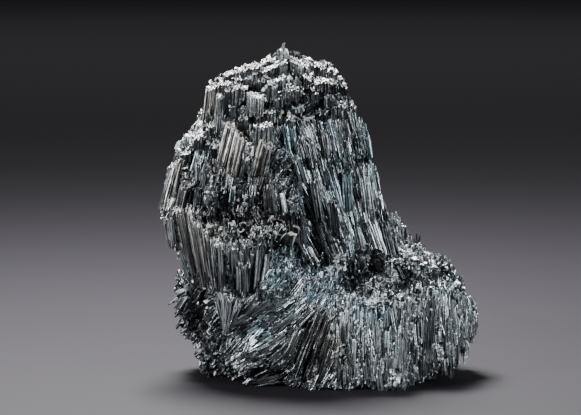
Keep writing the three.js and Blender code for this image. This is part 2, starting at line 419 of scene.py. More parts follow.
SHADE_PATCHES = (
    (-14, 27, 4), (-9, 27, 4), (-17, 28, 3.4), (-21, 12, 2.4), (-23, 7, 4), (-19, 4, 3), (6.4, 18.5, 2),
    (-4, 6, 3), (-1, 4, 3), (15, 25, 4), (4, 24, 2.4), (-2, 46, 2), (-12, 33.4, 3), (-24, 16, 2.4),
    (-9.5, 1.2, 3), (-4, 1, 2), (-3.4, 24.6, 2.4),
)
PALE_LIFT = 0.35
SHADE_DROP = 0.45
TARNISH = 0.4
FRONT_ONLY = 4


def patch_weight(patches, places):
    weight = np.zeros(len(places))
    for x, z, reach in patches:
        gap = np.hypot(places[:, 0] - x, places[:, 2] - z) / reach
        weight = np.maximum(weight, np.exp(-gap * gap))
    return weight * (places[:, 1] < FRONT_ONLY)


def note(mesh, key, domain, values):
    """Keeps values on the mesh as an attribute that the finish reads."""
    made = mesh.attributes.new(key, "FLOAT", domain)
    made.data.foreach_set("value", np.asarray(values, np.float32).ravel())


def bands(places, ways, shift):
    """Soft light and dark bands that run with the crystals, from -1 to 1."""
    along = (places * ways).sum(1, keepdims=True) * ways
    return np.array([noise.noise(Vector(place)) for place in (places - along * 0.8) * 0.55 + shift]) * 2


def tint_mesh(mesh, places, tone, teal=0.0, warm=0.0):
    # Patches are painted paler, or darker as painted shade in pockets, gaps and under the low arch.
    pale_and_shade = patch_weight(PALE_PATCHES, places) * PALE_LIFT - patch_weight(SHADE_PATCHES, places) * SHADE_DROP
    note(mesh, "tone", "POINT", np.clip(tone + pale_and_shade, 0, 1))
    note(mesh, "teal", "POINT", patch_weight(TEAL_PATCHES, places) * TARNISH + teal)
    note(mesh, "warm", "POINT", patch_weight(WARM_PATCHES, places) * TARNISH + warm)


# The heart's broken face. Where it shows between the crystals it is split along them into blocks that
# stand at different depths, with finer splits in the blocks. Each sheaf, in the order above, has its
# middle's height, how granular it is, how deep its splits are, and its tone.
MIDDLES = np.array((48, 32, 36, 22, 8, 8, 18, 8, 0), float)
GRANULAR = np.array((0.4, 0.1, 0.3, 0.2, 0.2, 0.7, 1, 0.15, 0))
SPLIT = np.array((1.5, 0.4, 1.1, 0.8, 0.6, 1.1, 1, 0.5, 0))
TONES = np.array((0.15, 0.65, 0.4, 0.42, 0.55, 0.35, 0.55, 0.62, 0.3))

heart_zones = zone_of(heart_places, heart_normals)
heart_ways = np.zeros_like(heart_places)
for zone, way in WAYS.items():
    heart_ways[heart_zones == zone] = way(heart_places[heart_zones == zone])
above = heart_places[:, 2] - MIDDLES[heart_zones]
split_places = heart_places - heart_ways / heart_ways[:, 2:] * above[:, None]
split_places[:, 2] = above / heart_ways[:, 2]


def splits(across, along):
    """A random height for each block of the split heart, and how near each place is to its edge."""
    stretched = split_places / (across, across, along)
    found = [noise.voronoi(Vector(place)) for place in stretched]
    heights = np.array([noise.cell(near[0] * 9.7) for _, near in found])
    edges = np.array([gaps[1] - gaps[0] for gaps, _ in found])
    return heights * 0.5 + 0.5, np.clip(1 - edges / 0.25, 0, 1)


block_height, _ = splits(2.2, 4.5)
strip_height, strip_edge = splits(0.9, 3.6)
lump = np.array([noise.noise(Vector(place) * 1.1) for place in heart_places])
grit = np.array([noise.noise(Vector(place) * 2.3) for place in heart_places])
granular = GRANULAR[heart_zones]
relief = 1.1 * block_height**1.5 * SPLIT[heart_zones] - 0.3 * strip_edge * (1 - granular) - 0.6
relief = relief + 0.4 * strip_height * (1 - granular)
relief = relief + lump * 0.6 * granular + grit * (0.2 + 0.5 * granular)
relief = np.where(heart_zones == REST, 0, relief)
split_face = heart_places + heart_normals * relief[:, None]
split_face[:, 2] = np.maximum(split_face[:, 2], np.interp(split_face[:, 0], *UNDERSIDE.T))
heart.data.vertices.foreach_set("co", (split_face * MM).astype(np.float32).ravel())
heart.data.shade_flat()
heart.data.update()

loop_vertex = read(heart.data.loops, "vertex_index", 1, np.int32)
face_sizes = read(heart.data.polygons, "loop_total", 1, np.int32)
loop_face = np.repeat(np.arange(len(face_sizes)), face_sizes)
face_normal = read(heart.data.polygons, "normal", 3)[loop_face]
sideways = np.abs(face_normal[:, 0]) > np.abs(face_normal[:, 1])
spot = split_places[loop_vertex]
along_grain = np.stack([np.where(sideways, spot[:, 1], spot[:, 0]), spot[:, 2] * 0.06], 1)
on_end = np.abs((face_normal * heart_ways[loop_vertex]).sum(1)) > 0.7
heart_grain = np.where(on_end[:, None], spot[:, :2], along_grain)
heart.data.uv_layers.new(name="grain").data.foreach_set("uv", heart_grain.astype(np.float32).ravel())
# Blocks that stand deeper are painted darker and higher ones lighter: painted shade in the splits.
tint_mesh(heart.data, heart_places, TONES[heart_zones] * (0.3 + 1.4 * strip_height * block_height))
note(heart.data, "coarse", "POINT", np.ones(len(heart_places)))
# Upward ends of the higher blocks get a painted highlight.
high_block = block_height[loop_vertex] > 0.5
note(heart.data, "tip_highlight", "CORNER", on_end * 0.6 * high_block * (face_normal[:, 2] > 0.3))
heart.data.materials.clear()
heart.data.materials.append(fibre_finish)
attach(heart, "root")
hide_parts("betekhtinite_mass")

# The crystals. All are prisms that grew side by side and broke off across their length. Three shapes are
# cut here and every crystal on the specimen is a copy of one of them: a grooved block, a slim needle and
# a stubby grain.
def cut_crystal(sides, square, crowned, coarse):
    bpy.ops.object.select_all(action="DESELECT")
    bpy.ops.mesh.primitive_cylinder_add(vertices=sides, radius=0.5, depth=1, location=(0, 0, 0.5))
    crystal = bpy.context.object
    for face in crystal.data.polygons:
        face.select = face.normal.z > 0.9
    bpy.ops.object.mode_set(mode="EDIT")
    if crowned:
        bpy.ops.mesh.inset(thickness=0.16)
        bpy.ops.mesh.poke()
    bpy.ops.object.mode_set(mode="OBJECT")
    squaring = crystal.modifiers.new("squaring", "CAST")
    squaring.cast_type = "CUBOID"
    squaring.use_z = False
    squaring.factor = square
    bpy.ops.object.modifier_apply(modifier="squaring")
    corners = read(crystal.data.loops, "vertex_index", 1, np.int32)
    starts = read(crystal.data.polygons, "loop_start", 1, np.int32)
    places = read(crystal.data.vertices, "co", 3) + np.array(crystal.location)
    facing = read(crystal.data.polygons, "normal", 3)
    of_face = np.repeat(np.arange(len(starts)), np.diff(np.append(starts, len(corners))))
    at = places[corners]
    middle = np.arctan2(facing[:, 1], facing[:, 0])[of_face] / math.tau
    round_it = np.arctan2(at[:, 1], at[:, 0]) / math.tau
    round_it = middle + (round_it - middle + 0.5) % 1 - 0.5
    reach = np.hypot(places[:, 0], places[:, 1])
    shape = {
        "places": places,
        "corners": corners,
        "starts": starts,
        "side": (np.abs(facing[:, 2]) < 0.1)[of_face],
        "unrolled": np.stack([round_it + 0.5, at[:, 2]], 1),
        "capped": np.stack([at[:, 0] + 0.5, at[:, 1] + 0.5], 1),
        "cap": (facing[:, 2] > 0.1)[of_face],
        "column": np.round(np.arctan2(places[:, 1], places[:, 0]) / math.tau * sides).astype(int) % sides,
        "sides": sides,
        "coarse": coarse,
        "outer": reach > 0.05,
        "inner": (reach < 0.4) & (places[:, 2] > 0.5),
    }
    bpy.data.objects.remove(crystal, do_unlink=True)
    return shape


block = cut_crystal(10, 0.9, True, 0.3)
needle = cut_crystal(5, 0.1, False, 0.3)
stub = cut_crystal(6, 0.3, False, 0.8)


# How the crystals stand. Places are picked on the heart, and at each a crystal lies along the heart's
# side or stands on its end, whichever way the heart faces there. Neighbours overlap like shingles and
# break off at uneven heights.
TRIES_PER_PLACE = 7
MOST_ASIDE = 0.4


def pick_places(luck, zone, apart, stretch, region):
    """Places on the heart with the normal and the crystals' direction there.

    They are at least apart millimetres from each other, and stretch times as far along the crystals."""
    first, second, third = (heart_places[heart_corners[:, k]] for k in range(3))
    cross = np.cross(second - first, third - first)
    area = np.linalg.norm(cross, axis=1) / 2
    normal = unit(heart_normals[heart_corners].sum(1))
    centre = (first + second + third) / 3
    area = np.where((zone_of(centre, normal) == zone) & region(*centre.T), area, 0)
    count = int(area.sum() / (apart * apart * stretch) * TRIES_PER_PLACE)
    chosen = luck.choice(len(area), count, p=area / area.sum())
    u, v = luck.random((2, count, 1))
    u, v = np.where(u + v > 1, 1 - u, u), np.where(u + v > 1, 1 - v, v)
    places = first[chosen] + u * (second - first)[chosen] + v * (third - first)[chosen]
    normals = normal[chosen]
    ways = WAYS[zone](places)
    cells = {}
    kept = []
    squash = 1 / stretch - 1
    neighbours = [(x, y, z) for x in (-1, 0, 1) for y in (-1, 0, 1) for z in (-1, 0, 1)]
    for i, (place, way) in enumerate(zip(places, ways, strict=True)):
        cell = tuple((place // (apart * stretch)).astype(int))
        beside = [(cell[0] + x, cell[1] + y, cell[2] + z) for x, y, z in neighbours]
        near = [j for other in beside for j in cells.get(other, ())]
        if near:
            gap = places[near] - place
            gap = gap + (gap @ way)[:, None] * way * squash
            if (gap * gap).sum(1).min() < apart * apart:
                continue
        cells.setdefault(cell, []).append(i)
        kept.append(i)
    return places[kept], normals[kept], ways[kept]


def hug(places, lowest, highest):
    """Moves places to between lowest and highest millimetres off the heart, along its normal."""
    moved = []
    for place, low, high in zip(places, lowest, highest, strict=True):
        near, normal, _, _ = heart_tree.find_nearest(Vector(place))
        aside = Vector(place) - near
        gap = aside.dot(normal)
        aside = aside - normal * gap
        aside.length = min(aside.length, MOST_ASIDE)
        moved.append(near + aside + normal * min(max(gap, low), high))
    return np.array(moved).reshape(-1, 3)


DOME_AXIS = np.array((-6.0, 0.0, 0.0))
PACKED = 0.8
TOP_WIDTH = 0.92
TOP_END_PAINTED_LIGHT = 1.25
ROOT_PAINTED_SHADE = 0.65
CAP_COARSE = 0.5
FLOOR_GAP = 0.02


class Growth:
    """Crystals of one shape that are waiting to be joined into one piece."""

    def __init__(self, name, seed, shape):
        self.name = name
        self.shape = shape
        self.luck = np.random.default_rng(seed)
        self.parts = {}

    def add(self, **parts):
        for key, values in parts.items():
            self.parts.setdefault(key, []).append(np.asarray(values, float))

    def lay(self, top, up, out, length, wide, thick, tilt, slant, ragged, tone, tint, bright, count, rows):
        """Adds packets of count by rows crystals that hang down from their tops, side by side."""
        luck = self.luck
        packets = len(top)
        columns, layers = np.meshgrid(np.arange(count) - (count - 1) / 2, np.arange(rows), indexing="ij")
        columns, layers = columns.reshape(1, -1), layers.reshape(1, -1)
        each = columns.size
        across = np.cross(up, out)

        def jitter(amount):
            return luck.uniform(-amount, amount, (packets, each))

        loose = each > 1
        sideways = (columns + jitter(0.25 * loose)) * wide[:, None] * PACKED
        inward = (layers + jitter(0.3 * loose)) * thick[:, None] * PACKED
        rise = slant[:, None] * sideways + tilt[:, None] * inward
        end = (jitter(1) * ragged + rise) * loose
        axis = up[:, None] + across[:, None] * luck.normal(0, 0.015, (packets, each, 1)) * loose
        axis = unit(axis + out[:, None] * luck.normal(0, 0.015, (packets, each, 1)) * loose)
        spin = jitter(0.3 if loose else 0.25)[..., None]
        side = unit(across[:, None] * np.cos(spin) + out[:, None] * np.sin(spin))
        side = unit(side - (side * axis).sum(2, keepdims=True) * axis)
        long = np.maximum(length[:, None] * luck.uniform(0.8, 1.1, (packets, each)), wide[:, None])
        tips = top[:, None] + sideways[..., None] * across[:, None] - inward[..., None] * out[:, None]
        tips = tips + end[..., None] * axis
        # Rows further in are painted darker: painted shade between the crystals.
        shade = tone[:, None] * (1 - 0.1 * layers) + luck.normal(0, 0.07, (packets, each)) * loose
        self.add(
            foot=(tips - long[..., None] * axis).reshape(-1, 3),
            axis=axis.reshape(-1, 3),
            side=side.reshape(-1, 3),
            length=long.ravel(),
            wide=(wide[:, None] * luck.uniform(0.85, 1.2, (packets, each))).ravel(),
            thick=(thick[:, None] * luck.uniform(0.85, 1.2, (packets, each))).ravel(),
            slant=np.repeat(slant, each),
            tilt=np.repeat(tilt, each),
            ragged=np.full(packets * each, ragged),
            tone=np.clip(shade, 0, 1).ravel(),
            tint=np.repeat(tint, each, 0),
            bright=np.repeat(bright, each),
        )

    def cover(self, zone, apart, stretch, length, wide, share=1.0, flat=(0.5, 0.85), proud=(-0.3, 0.3),
              splay=(0, 0.08), wander=0.07, tilt=(0.2, 0.8), ragged=0.12, tone=0.4, patchy=0.16,
              bright=0.3, count=1, rows=1, wild=0.0, banded=0.2, domed=0.0, teal=0.0, warm=0.0,
              region=lambda x, y, z: x > -99):
        """Covers a share of one sheaf with crystals, or with packets of count by rows of them.

        Wild ones point every way, and domed ones break off along a dome round DOME_AXIS."""
        luck = self.luck
        place, normal, way = pick_places(luck, zone, apart, stretch, region)
        shift = Vector(luck.uniform(0, 90, 3))
        crowd = np.array([noise.noise(Vector(at) * 0.28 + shift) for at in place])
        kept = np.argsort(-crowd)[: math.ceil(len(place) * share)]
        place, normal, way = place[kept], normal[kept], way[kept]
        amount = len(place)
        facing = (normal * way).sum(1)
        up = way * np.where(facing < -0.5, -1, 1)[:, None]
        up = unit(up + normal * wild + luck.normal(0, 1, (amount, 3)) * wild)
        out = normal + luck.normal(0, 0.12, (amount, 3))
        out = unit(out - up * (out * up).sum(1, keepdims=True))
        across = np.cross(up, out)
        steep = 1 - np.abs((normal * up).sum(1))
        lean = luck.uniform(*splay, amount) * steep + luck.normal(0, wander, amount)
        up = unit(up + out * lean[:, None] + across * luck.normal(0, wander, amount)[:, None])
        out = unit(out - up * (out * up).sum(1, keepdims=True))
        wides = luck.uniform(*wide, amount)
        thicks = wides * luck.uniform(*flat, amount)
        longs = luck.uniform(*length, amount) * (0.4 + 0.6 * steep)
        lift = luck.uniform(*proud, amount)
        deep = thicks * 0.5 * steep
        top = place + normal * (lift - deep)[:, None] + up * (longs * 0.5 * steep**2)[:, None]
        stray = zone_of(top, normal) != zone
        top[stray] = (place + normal * (lift - deep)[:, None])[stray]
        lying = (steep > 0.5) & (wild == 0)
        top[lying] = hug(top[lying], np.full(lying.sum(), -0.6), (lift - deep)[lying] + 0.1)
        foot = (top - up * longs[:, None])[lying]
        up[lying] = unit(top[lying] - hug(foot, (lift - deep)[lying] - 1, (lift - deep)[lying] + 0.1))
        out = unit(out - up * (out * up).sum(1, keepdims=True))
        slants = luck.normal(0, 0.2, amount) - domed * (np.cross(up, out) * (place - DOME_AXIS)).sum(1)
        tones = luck.normal(tone, patchy, amount) + bands(place, way, shift) * banded
        tints = np.stack([luck.random(amount) ** 3 * 0.5 + teal, np.full(amount, warm)], 1)
        self.lay(
            top, up, out, longs, wides, thicks, luck.uniform(*tilt, amount), slants, ragged,
            np.clip(tones, 0.02, 1), tints, bright * luck.uniform(0.3, 1, amount), count, rows,
        )

    def place_one(self, x, z, up, length, wide, thick, proud=0.8, tone=0.5, teal=0.0, warm=0.0,
                  bright=0.8, tilt=0.5, slant=0.0, ragged=0.1, fibre=0.0):
        """Adds one crystal, or a packet of fibres, on the front of the heart at x across and z up."""
        count = rows = 1
        if fibre:
            count = max(round(wide / fibre / PACKED), 1)
            rows = max(round(thick / fibre / PACKED), 1)
            wide = thick = fibre
        near = np.hypot(heart_places[:, 0] - x, heart_places[:, 2] - z) < 1.2
        near &= heart_normals[:, 1] < 0
        front = heart_places[near][:, 1].min()
        up = unit(np.array(up, float))
        out = np.array((0.0, -1.0, 0.1))
        out = unit(out - up * (out @ up))
        middle = np.array((x, front, z)) + out * (proud - thick / 2)
        top = middle + up * length / 2
        one = [np.array([value], float) for value in (length, wide, thick, tilt, slant)]
        self.lay(
            top[None], up[None], out[None], *one, ragged, np.array([tone]), np.array([[teal, warm]]),
            np.array([bright]), count, rows,
        )

    def grow(self):
        """Joins a copy of the shape for every waiting crystal into one piece."""
        shape = self.shape
        luck = self.luck
        parts = {key: np.concatenate(found) for key, found in self.parts.items()}
        foot, axis, side = parts["foot"], parts["axis"], parts["side"]
        length, wide, thick = parts["length"], parts["wide"], parts["thick"]
        other = np.cross(axis, side)
        base = shape["places"]
        amount = len(foot)
        grooves = luck.uniform(0.84, 1.1, (amount, shape["sides"]))[:, shape["column"]]
        grooves = np.where(shape["outer"], grooves, 1.0)
        x = base[:, 0] * grooves * wide[:, None]
        y = base[:, 1] * grooves * thick[:, None]
        raised = luck.uniform(-1, 1, (amount, len(base))) * parts["ragged"][:, None]
        raised = raised + shape["inner"] * thick[:, None] * 0.12
        raised = raised + x * parts["slant"][:, None] + y * parts["tilt"][:, None]
        rise = np.where(base[:, 2] > 0.5, np.maximum(length[:, None] + raised, 0.1), 0.0)
        narrow = np.where(base[:, 2] > 0.5, TOP_WIDTH, 1.0)
        spots = foot[:, None] + (x * narrow)[..., None] * side[:, None]
        spots = spots + (y * narrow)[..., None] * other[:, None] + rise[..., None] * axis[:, None]
        spots[..., 2] = np.maximum(spots[..., 2], FLOOR_GAP)
        points, loops, faces = len(base), len(shape["corners"]), len(shape["starts"])
        mesh = bpy.data.meshes.new(self.name)
        mesh.vertices.add(amount * points)
        mesh.vertices.foreach_set("co", (spots * MM).astype(np.float32).ravel())
        mesh.loops.add(amount * loops)
        corner = shape["corners"][None] + (np.arange(amount) * points)[:, None]
        mesh.loops.foreach_set("vertex_index", corner.astype(np.int32).ravel())
        mesh.polygons.add(amount * faces)
        starts = shape["starts"][None] + (np.arange(amount) * loops)[:, None]
        mesh.polygons.foreach_set("loop_start", starts.astype(np.int32).ravel())
        mesh.update(calc_edges=True)
        mesh.shade_flat()

        around, along = shape["unrolled"][:, 0], shape["unrolled"][:, 1]
        roll = np.stack([around * 1.6 * (wide + thick)[:, None], along * length[:, None] * 0.04], 2)
        flat = np.broadcast_to(shape["capped"], (amount, loops, 2)) * wide[:, None, None]
        grain = np.where(shape["side"][None, :, None], roll, flat) + luck.random((amount, 1, 2)) * 60
        mesh.uv_layers.new(name="grain").uv.foreach_set("vector", grain.astype(np.float32).ravel())
        columns = math.ceil(math.sqrt(amount))
        cell = np.stack([np.arange(amount) % columns, np.arange(amount) // columns], 1) / columns
        side_spot = np.stack([0.03 + (around + 0.25) * 0.62, 0.03 + along * 0.46], 1)
        cap_spot = shape["capped"] * 0.3 + np.where(shape["cap"], 0.05, 0.45)[:, None] * (1, 0) + (0, 0.6)
        atlas = cell[:, None] + np.where(shape["side"][:, None], side_spot, cap_spot)[None] / columns
        mesh.uv_layers.new(name="OFBake").uv.foreach_set("vector", atlas.astype(np.float32).ravel())
        mesh.uv_layers.active = mesh.uv_layers["grain"]

        tone, teal, warm = (np.repeat(values, points) for values in (parts["tone"], *parts["tint"].T))
        # Each crystal is painted darker towards its buried foot and lighter at its top: painted shade and
        # painted light.
        tone = tone * np.tile(np.where(base[:, 2] > 0.5, TOP_END_PAINTED_LIGHT, ROOT_PAINTED_SHADE), amount)
        tint_mesh(mesh, np.repeat(foot, points, 0), tone, teal, warm)
        note(mesh, "coarse", "CORNER", np.tile(np.where(shape["cap"], CAP_COARSE, shape["coarse"]), amount))
        # Top caps get their crystal's share of the painted highlight.
        note(mesh, "tip_highlight", "CORNER", np.repeat(parts["bright"], loops) * np.tile(shape["cap"], amount))
        piece = bpy.data.objects.new(self.name, mesh)
        bpy.context.collection.objects.link(piece)
        mesh.materials.append(fibre_finish)
        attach(piece, "root")


def clothe(name, seed, shape, *where, **how):
    """Covers one sheaf with crystals of one shape, as one piece."""
    growth = Growth(name, seed, shape)
    growth.cover(*where, **how)
    growth.grow()


# The left tower. Its crystals lean to the right as they rise, and break off in short tiers on the way to
# the crown.
SQUARE = (0.9, 1.1)
left_tower = Growth("left_tower", 101, needle)
left_tower.cover(
    LEFT, 1.5, 1.4, (1.8, 4), (0.3, 0.44), flat=SQUARE, proud=(-0.1, 1), tilt=(0.3, 0.9), ragged=0.25,
    bright=0.65, count=5, rows=4, wander=0.1, tone=0.25,
)
left_tower.cover(
    LEFT, 0.95, 1.8, (1.5, 3.5), (0.24, 0.36), flat=SQUARE, proud=(-0.3, 0.5), ragged=0.3, bright=0.6,
    count=3, rows=2, wander=0.1, tone=0.29,
)
left_tower.grow()
clothe(
    "left_tower_blocks", 131, block, LEFT, 2, 1.3, (1.2, 2.8), (0.8, 1.9), 0.7, flat=(0.5, 0.9),
    proud=(0.1, 0.9), tilt=(0.3, 0.9), ragged=0.25, bright=0.8, wander=0.14, tone=0.28, patchy=0.12,
)
clothe(
    "left_tower_needles", 111, needle, LEFT, 0.8, 2.4, (1.5, 4), (0.18, 0.26), 0.7, proud=(-0.1, 0.3),
    count=3, ragged=0.4, wander=0.12, tone=0.5,
)
clothe(
    "left_tower_grains", 121, stub, LEFT, 0.65, 1.2, (0.4, 1.1), (0.25, 0.6), 0.5, proud=(-0.2, 0.5),
    wild=0.5, tone=0.5, ragged=0.2,
)

# The right tower. Long plain faces of finer fibres run down to the shelf, and open upwards from the lower
# right.
right_tower = Growth("right_tower", 202, needle)
right_tower.cover(
    RIGHT, 1.5, 2.8, (3.5, 8), (0.28, 0.42), flat=SQUARE, proud=(-0.2, 0.4), wander=0.03, tone=0.44,
    patchy=0.12, banded=0.7, count=6, rows=2, ragged=0.7, bright=0.15,
)
right_tower.cover(
    RIGHT, 0.9, 2.4, (2, 5), (0.24, 0.34), 0.8, flat=SQUARE, proud=(-0.3, 0.2), splay=(-0.04, 0.02),
    wander=0.04, tone=0.4, patchy=0.1, banded=0.7, count=3, rows=2, ragged=0.6, bright=0.15,
)
right_tower.grow()
clothe(
    "right_tower_plates", 232, block, RIGHT, 2.4, 3, (3, 7), (0.6, 1.5), 0.6, flat=(0.25, 0.4),
    proud=(0, 0.3), wander=0.05, tone=0.4, patchy=0.1, banded=0.6, ragged=0.3,
)
clothe(
    "right_tower_needles", 212, needle, RIGHT, 0.75, 2.8, (2, 6), (0.2, 0.3), 0.8, proud=(-0.2, 0.15),
    splay=(-0.05, 0), count=4, ragged=0.6, wander=0.04, tone=0.46, patchy=0.12, banded=0.6,
)
clothe(
    "right_tower_grains", 222, stub, RIGHT, 0.75, 1.4, (0.4, 1.2), (0.2, 0.45), 0.45, proud=(-0.1, 0.3),
    wild=0.3, tone=0.5, ragged=0.2,
)

# The crown. Short thick packets end in ledge over ledge, whose broken tips catch the light from above and
# carry a painted highlight. The brightest of these painted rims stand in rows that slope with the crown.
crown = Growth("crown", 303, needle)
crown.cover(
    CROWN, 1.6, 1, (1.4, 2.8), (0.34, 0.5), flat=SQUARE, proud=(-0.2, 1.1), splay=(0, 0.3), wander=0.18,
    domed=0.04, tone=0.07, patchy=0.08, bright=1, tilt=(0.2, 1), ragged=0.3, count=6, rows=3,
)
crown.cover(
    CROWN, 1.1, 1.1, (1, 2.4), (0.26, 0.42), 0.8, flat=SQUARE, proud=(-0.4, 0.5), splay=(0, 0.3),
    wander=0.2, tone=0.18, bright=1, ragged=0.3, tilt=(0.3, 0.9), domed=0.03, count=3, rows=2,
)
crown.grow()
clothe(
    "crown_ledges", 333, block, CROWN, 1.6, 1, (1, 2.2), (0.9, 2.2), 0.7, flat=(0.3, 0.6),
    proud=(0.2, 1.2), splay=(0, 0.35), wander=0.24, domed=0.05, tone=0.08, patchy=0.1, bright=1,
    tilt=(0.2, 1), ragged=0.5,
)
crown_rims = Growth("crown_rims", 343, needle)
for x, z, rise, wide in (
    (-15, 51.2, 0.5, 2.2), (-12.6, 52, 0.4, 1.8), (-10.8, 52.4, 0.5, 2), (-9, 53.2, 0.5, 1.8),
    (-11.4, 51, 0.5, 2.8), (-9, 51.8, 0.4, 1.6), (-13.2, 50.2, 0.3, 2.4), (-10.2, 50, 0.3, 2),
    (-7.7, 52.4, 0.6, 1.2), (-15.6, 49.6, 0.3, 2), (-13, 48.9, 0.1, 1.8), (-17, 49.4, 0.8, 1.4),
    (-4.9, 48.6, 0, 2.8), (-4.2, 53, -0.5, 1.6), (-2.6, 52.4, -0.3, 1.4), (0.2, 49.9, 0.1, 2.2),
    (2.2, 49.6, -0.2, 1.6), (0, 52.4, -0.3, 2), (2, 51.6, -0.4, 1.6), (3.8, 49.4, -0.8, 1.2),
    (-8.5, 44.9, 0.1, 2), (-12.9, 44, 0.3, 1.6), (-2.2, 50.6, -0.6, 1.4), (-1, 48.4, -0.3, 1.4),
    (3.4, 46, 0, 1.6), (-5, 44, -0.2, 1.4), (-14.6, 45.7, 0.2, 1.5), (1.4, 47.4, -0.4, 1.6),
    (-6.6, 50.4, 0.3, 1.6), (-7, 47.2, 0.2, 1.2), (-18.2, 42.6, 0.4, 1.8), (-20.4, 40.6, 0.5, 1.6),
    (-22.6, 38, 0.5, 1.6), (-17.4, 39.4, 0.2, 1.6),
):
    crown_rims.place_one(
        x, z - 0.8, (0, 0, 1), 1.7, wide, 1, 0.8, tone=0.07, bright=1, slant=rise, tilt=0.7, ragged=0.22,
        fibre=0.42,
    )
crown_rims.grow()
clothe(
    "crown_grains", 313, stub, CROWN, 0.55, 1, (0.4, 1.1), (0.2, 0.5), 0.35, proud=(-0.2, 0.4), wild=0.5,
    tone=0.4, ragged=0.25, bright=0.8,
)

# The bulge. Ribs spread up from the narrow waist and break off in rows of ledges under the tower, round a
# pocket full of dark flakes.
bulge = Growth("bulge", 404, needle)
bulge.cover(
    BULGE, 1.1, 3.4, (4, 8), (0.34, 0.5), flat=SQUARE, proud=(-0.2, 0.25), wander=0.03, tone=0.82,
    patchy=0.1, banded=0.3, count=3, rows=2, ragged=0.5, region=lambda x, y, z: z < 25,
)
bulge.cover(
    BULGE, 1.6, 1.2, (1.5, 3.5), (0.3, 0.44), flat=SQUARE, proud=(-0.1, 0.9), tone=0.15, bright=1,
    ragged=0.3, wander=0.14, count=4, rows=3, region=lambda x, y, z: z > 23,
)
bulge.grow()
clothe(
    "pocket_flakes", 434, block, BULGE, 1.4, 1, (1, 2.6), (1, 2.6), 0.85, flat=(0.15, 0.3),
    proud=(0.2, 1.1), wild=0.2, tone=0.16, ragged=0.35, bright=1, warm=0.6,
    region=lambda x, y, z: (z > 24.5) & (x > -22),
)
clothe(
    "bulge_needles", 414, needle, BULGE, 0.75, 2.8, (2, 6), (0.2, 0.3), 0.8, proud=(-0.2, 0.2), count=4,
    ragged=0.6, wander=0.05, tone=0.68, banded=0.3,
)
clothe(
    "bulge_grains", 424, stub, BULGE, 0.65, 1.2, (0.4, 1.1), (0.25, 0.6), 0.7, proud=(-0.2, 0.4),
    wild=0.5, tone=0.35, ragged=0.2, bright=0.6, region=lambda x, y, z: (x < -21) & (z > 23.5) | (x > -8),
)

# The lower left. Blades slant down and outwards from the waist and end in a toothed edge.
clothe(
    "lower_left", 505, block, BLADES, 1.4, 1.5, (1.5, 4), (0.5, 1.6), flat=(0.2, 0.5), proud=(-0.4, 0.7),
    splay=(-0.1, 0.1), wander=0.25, tone=0.2, patchy=0.35, ragged=0.35, bright=1,
)
clothe(
    "lower_left_needles", 515, needle, BLADES, 1.1, 1.8, (1.2, 3), (0.24, 0.42), 0.8, flat=SQUARE,
    proud=(-0.1, 0.6), splay=(-0.1, 0.1), count=4, rows=2, ragged=0.5, wander=0.16, tone=0.32,
    patchy=0.25, bright=0.6,
)
clothe(
    "lower_left_grains", 525, stub, BLADES, 0.65, 1.1, (0.4, 1.1), (0.25, 0.6), 0.4, proud=(-0.3, 0.4),
    wild=0.7, tone=0.25, patchy=0.25, ragged=0.2,
)

# The front slant. Under the waist long bundles run steeply aside, down to the left, over a low arch.
clothe(
    "front_slant", 606, needle, SLANT, 1.4, 2.4, (2.5, 6.5), (0.28, 0.42), flat=SQUARE, proud=(-0.2, 0.5),
    ragged=0.5, tone=0.45, patchy=0.12, wander=0.08, banded=0.35, count=5, rows=2,
)
clothe(
    "front_slant_needles", 616, needle, SLANT, 0.75, 2.4, (1.5, 5), (0.18, 0.28), 0.8, proud=(-0.2, 0.3),
    count=4, ragged=0.7, wander=0.12, tone=0.5, banded=0.35,
)
clothe(
    "front_slant_grains", 626, stub, SLANT, 0.6, 1.2, (0.4, 1.1), (0.2, 0.5), 0.5, proud=(-0.2, 0.4),
    wild=0.5, tone=0.45, ragged=0.2,
)

# The foot. Its bundles hang like a curtain under the terraces of the shelf, whose tops are granular.
clothe(
    "curtain", 707, needle, CURTAIN, 1.4, 2.6, (3, 7), (0.28, 0.44), flat=SQUARE, proud=(-0.3, 0.3),
    splay=(-0.08, 0), wander=0.06, ragged=0.6, tone=0.85, patchy=0.18, banded=0.75, count=4, rows=2,
)
clothe(
    "curtain_plates", 737, block, CURTAIN, 2.2, 2.4, (2.5, 6), (0.5, 1.3), 0.7, flat=(0.3, 0.5),
    proud=(0, 0.3), wander=0.06, tone=0.75, banded=0.5, ragged=0.3,
)
clothe(
    "curtain_needles", 717, needle, CURTAIN, 0.75, 2.4, (1.5, 4.5), (0.18, 0.28), 0.8, proud=(-0.2, 0.2),
    splay=(-0.1, 0), count=4, ragged=0.6, wander=0.09, tone=0.82, banded=0.75,
)
clothe(
    "curtain_grains", 727, stub, CURTAIN, 0.65, 1.3, (0.4, 1.1), (0.2, 0.5), 0.55, proud=(-0.2, 0.3),
    wild=0.4, tone=0.65, ragged=0.2,
)

# The shelf. Its terraces are the worn ends of the same bundles, crumbled into grains.
clothe(
    "shelf", 808, needle, TERRACE, 1, 1.2, (1, 2.4), (0.26, 0.42), flat=SQUARE, proud=(-0.3, 0.4),
    wander=0.3, ragged=0.3, count=3, rows=2, tone=0.25, bright=0,
)
clothe(
    "shelf_grains", 818, stub, TERRACE, 0.55, 1, (0.4, 1.2), (0.25, 0.6), 0.8, proud=(-0.2, 0.5),
    wild=0.6, tone=0.26, patchy=0.1, ragged=0.2, bright=0,
)

